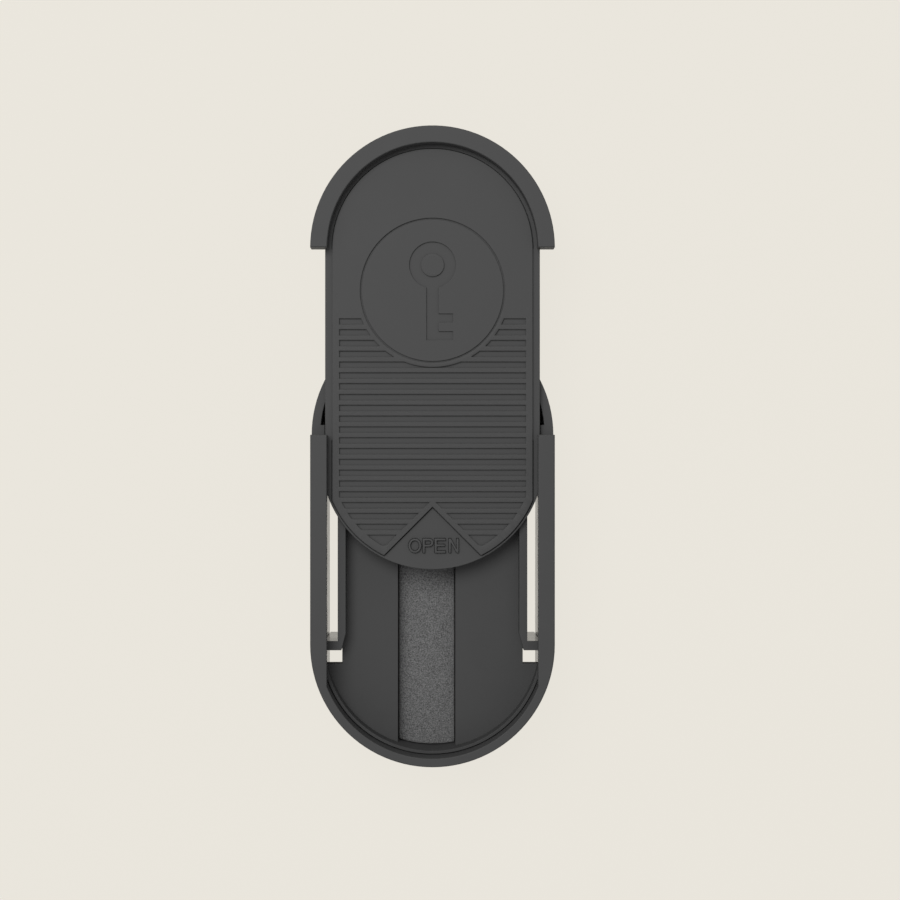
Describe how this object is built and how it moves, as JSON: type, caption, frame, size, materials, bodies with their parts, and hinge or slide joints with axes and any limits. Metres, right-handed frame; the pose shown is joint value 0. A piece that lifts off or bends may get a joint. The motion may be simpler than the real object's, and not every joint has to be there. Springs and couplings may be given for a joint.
{
  "type": "magnetic key holder box",
  "caption": "Pill-shaped magnetic key box with a ribbed sliding lid, side slots, a padded key channel in a shallow tray and a rubber-faced magnetic back.",
  "frame": {"origin": "centre of the rubber mounting face, which is also the centre of the closed box's outline", "axes": "+Z from the mounting face to the lid, +Y along the box in the direction the lid opens, +X to the right when the lid is seen from the front with its ring end up"},
  "size_m": [0.044, 0.1154, 0.018],
  "materials": {
    "shell_plastic": "dark grey moulded ABS with a fine spark-eroded satin texture",
    "lid_plastic": "dark grey moulded ABS with a fine satin texture, ribbed thumb area",
    "pad_foam": "grey closed-cell foam strip with a grainy skin",
    "grip_rubber": "matte black anti-scratch rubber",
    "keeper_steel": "zinc-plated mild steel sheet",
    "magnet_nickel": "nickel-plated neodymium",
    "screw_steel": "plain zinc-plated steel"
  },
  "bodies": {
    "base": {"base_shell": "shell_plastic", "key_tray": "shell_plastic", "key_pad": "pad_foam", "rear_cover": "shell_plastic", "grip_pad": "grip_rubber", "keeper_plate": "keeper_steel", "cover_screws": "screw_steel", "magnet_upper_left": "magnet_nickel", "magnet_upper_right": "magnet_nickel", "magnet_middle_left": "magnet_nickel", "magnet_middle_right": "magnet_nickel", "magnet_lower_left": "magnet_nickel", "magnet_lower_right": "magnet_nickel", "lid_stop_left": "shell_plastic", "lid_stop_right": "shell_plastic"},
    "lid": {"slide_lid": "lid_plastic"}
  },
  "joints": [
    {"name": "lid_slide", "type": "slide", "parent": "base", "child": "lid", "axis": [0, -1, 0], "range_m": [0, 0.0336]}
  ]
}
